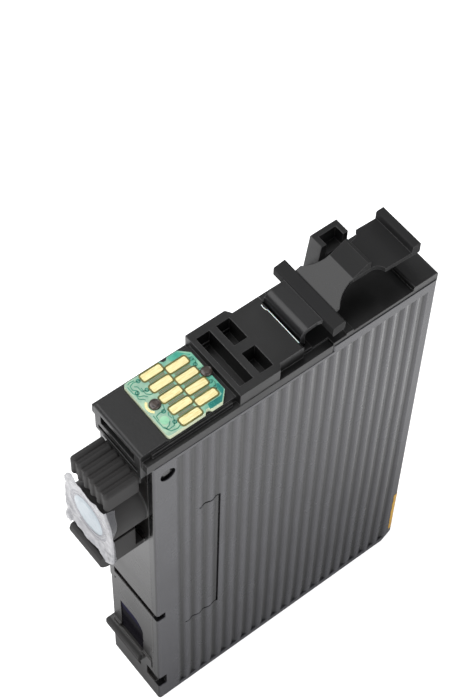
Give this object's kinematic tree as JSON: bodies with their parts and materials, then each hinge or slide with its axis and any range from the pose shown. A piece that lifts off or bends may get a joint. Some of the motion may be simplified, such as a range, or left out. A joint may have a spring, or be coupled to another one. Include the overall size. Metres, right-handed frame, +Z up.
{
  "type": "inkjet ink cartridge",
  "caption": "Slim black single-ink inkjet cartridge with ribbed side, contact board, sprung latch lever and a film-sealed foam outlet.",
  "frame": {"origin": "centre of the flat base that it stands on", "axes": "+Z up to the contact board and latch, -X towards the ink outlet, -Y towards the ribbed cover"},
  "size_m": [0.0556, 0.0128, 0.0812],
  "materials": {
    "case_black": "satin moulded",
    "cover_black": "satin moulded, ribbed",
    "adapter_black": "fine moulded",
    "lever_black": "fine moulded",
    "board_green": "solder mask over glass epoxy",
    "pad_gold": "gold flash, pale",
    "resin_black": "cast resin",
    "foam_white": "open-cell foam",
    "mesh_steel": "woven",
    "spring_steel": "drawn wire and leaf",
    "seal_film": "thin wrinkled film",
    "prism_clear": "clear moulded",
    "ink_film": "laminate film",
    "plate_white": "natural moulded",
    "valve_white": "natural moulded",
    "membrane_white": "porous sheet",
    "path_film": "thin dark film",
    "tape_yellow": "adhesive film tape"
  },
  "bodies": {
    "body": {"case_tray": "case_black", "side_cover": "cover_black", "top_adapter": "adapter_black", "contact_board": "board_green", "contact_pads": "pad_gold", "memory_chip": "resin_black", "outlet_foam": "foam_white", "outlet_filter": "mesh_steel", "outlet_leaf_spring": "spring_steel", "outlet_seal": "seal_film", "sensor_prism": "prism_clear", "chamber_film": "ink_film", "plate_spring": "spring_steel", "valve_seat": "valve_white", "valve_spring": "spring_steel", "vent_membrane": "membrane_white", "air_path_film": "path_film", "vent_tape": "tape_yellow"},
    "latch": {"latch_lever": "lever_black"},
    "plate": {"pressure_plate": "plate_white"},
    "rocker": {"valve_lever": "valve_white"}
  },
  "joints": [
    {"name": "latch_press", "type": "hinge", "parent": "body", "child": "latch", "pos_m": [0.002, 0, 0.07435], "axis": [0, 1, 0], "range_deg": [0, 7], "stiffness_Nm_per_rad": 0.4},
    {"name": "plate_slide", "type": "slide", "parent": "body", "child": "plate", "axis": [0, 1, 0], "range_m": [0, 0.0035], "stiffness_N_per_m": 40, "springref_m": -0.004, "deforming": ["plate_spring"]},
    {"name": "valve_rock", "type": "hinge", "parent": "body", "child": "rocker", "pos_m": [0.0169, 0.00053, 0.0608], "axis": [1, 0, 0], "range_deg": [0, 6], "stiffness_Nm_per_rad": 0.01, "springref_deg": -5.73, "deforming": ["valve_spring"]}
  ]
}
